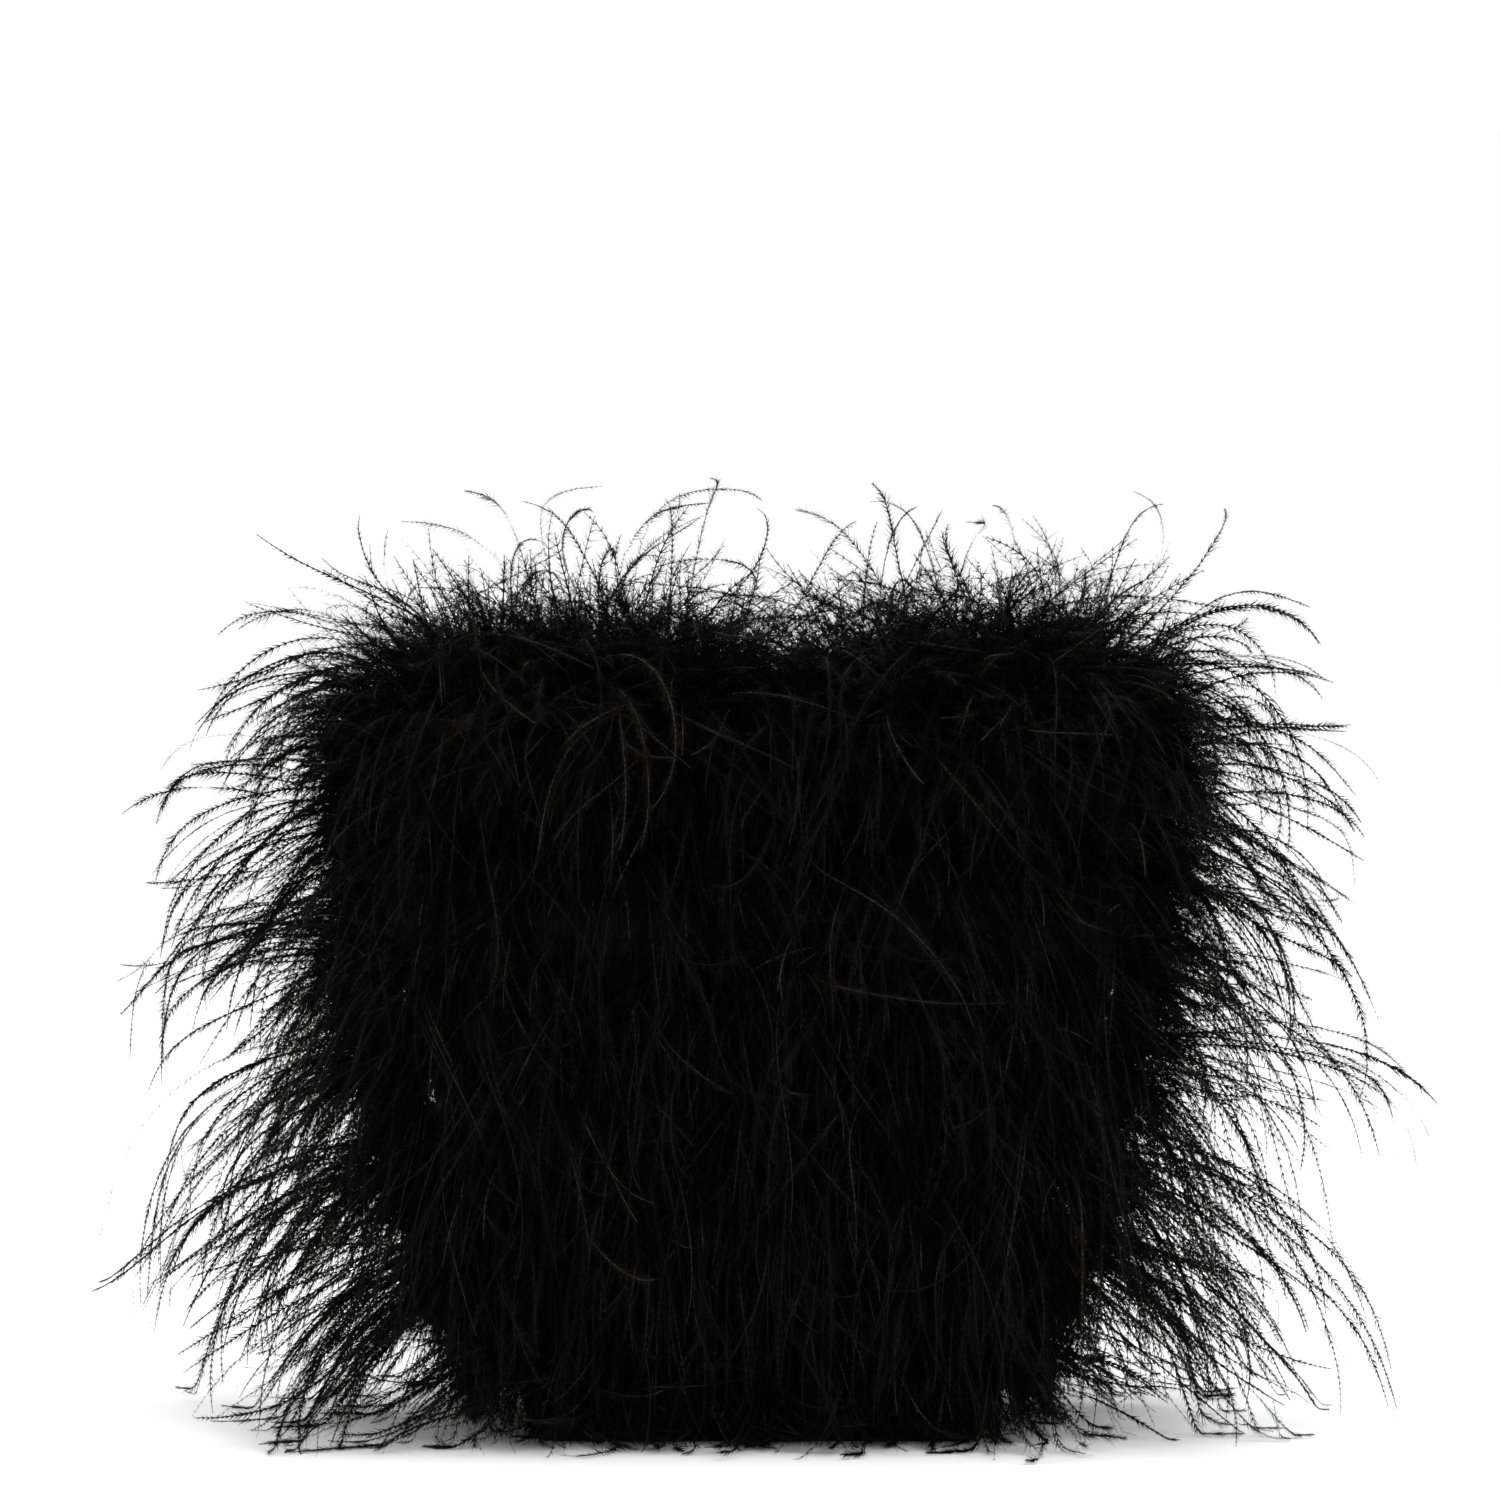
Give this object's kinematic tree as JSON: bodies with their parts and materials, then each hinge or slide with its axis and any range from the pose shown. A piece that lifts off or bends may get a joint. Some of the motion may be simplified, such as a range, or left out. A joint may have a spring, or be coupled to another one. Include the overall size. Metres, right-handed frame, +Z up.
{
  "type": "feather evening pouch",
  "caption": "Upright evening pouch covered in rows of black ostrich-feather fringe, with a satin lining and a concealed hinged mouth frame that opens front and back.",
  "frame": {"origin": "middle of the flat base, on the surface it stands on", "axes": "+X along the mouth to the right, -Y out of the front, +Z up"},
  "size_m": [0.3564, 0.1406, 0.243],
  "materials": {
    "ostrich_feather": "dyed black ostrich barbs with fine barbules, soft and matt",
    "shell_fabric": "black plain-woven fabric",
    "lining_satin": "black satin, slight sheen",
    "header_tape": "black twill tape",
    "stiffening_board": "grey-brown fibre board",
    "frame_steel": "nickel-plated steel strip",
    "snap_nickel": "polished nickel"
  },
  "bodies": {
    "pouch_body": {"base_panel": "shell_fabric", "front_panel": "shell_fabric", "back_panel": "shell_fabric", "gusset_left": "shell_fabric", "gusset_right": "shell_fabric", "base_board": "stiffening_board", "front_stiffener": "stiffening_board", "back_stiffener": "stiffening_board", "lining_front": "lining_satin", "lining_back": "lining_satin", "lining_left": "lining_satin", "lining_right": "lining_satin", "lining_base": "lining_satin", "interior_pocket": "lining_satin", "hinge_pin_left": "frame_steel", "hinge_pin_right": "frame_steel", "feather_tape_1": "header_tape", "front_feathers_1": "ostrich_feather", "back_feathers_1": "ostrich_feather", "left_feathers_1": "ostrich_feather", "right_feathers_1": "ostrich_feather", "feather_tape_2": "header_tape", "front_feathers_2": "ostrich_feather", "back_feathers_2": "ostrich_feather", "left_feathers_2": "ostrich_feather", "right_feathers_2": "ostrich_feather", "feather_tape_3": "header_tape", "front_feathers_3": "ostrich_feather", "back_feathers_3": "ostrich_feather", "left_feathers_3": "ostrich_feather", "right_feathers_3": "ostrich_feather", "feather_tape_4": "header_tape", "front_feathers_4": "ostrich_feather", "back_feathers_4": "ostrich_feather", "left_feathers_4": "ostrich_feather", "right_feathers_4": "ostrich_feather", "feather_tape_5": "header_tape", "front_feathers_5": "ostrich_feather", "back_feathers_5": "ostrich_feather", "left_feathers_5": "ostrich_feather", "right_feathers_5": "ostrich_feather"},
    "front_jaw": {"front_frame": "frame_steel", "front_yoke": "shell_fabric", "front_facing": "lining_satin", "snap_stud": "snap_nickel", "snap_washer_front": "snap_nickel", "front_mouth_tape_1": "header_tape", "front_mouth_feathers_1": "ostrich_feather", "front_mouth_tape_2": "header_tape", "front_mouth_feathers_2": "ostrich_feather"},
    "back_jaw": {"back_frame": "frame_steel", "back_yoke": "shell_fabric", "back_facing": "lining_satin", "snap_magnet": "snap_nickel", "snap_washer_back": "snap_nickel", "back_mouth_tape_1": "header_tape", "back_mouth_feathers_1": "ostrich_feather", "back_mouth_tape_2": "header_tape", "back_mouth_feathers_2": "ostrich_feather"}
  },
  "joints": [
    {"name": "front_jaw_hinge", "type": "hinge", "parent": "pouch_body", "child": "front_jaw", "pos_m": [0, 0, 0.145], "axis": [1, 0, 0], "range_deg": [0, 42]},
    {"name": "back_jaw_hinge", "type": "hinge", "parent": "pouch_body", "child": "back_jaw", "pos_m": [0, 0, 0.145], "axis": [-1, 0, 0], "range_deg": [0, 42]}
  ],
  "couplings": [
    {"joint": "back_jaw_hinge", "follows": "front_jaw_hinge", "ratio": 1}
  ]
}
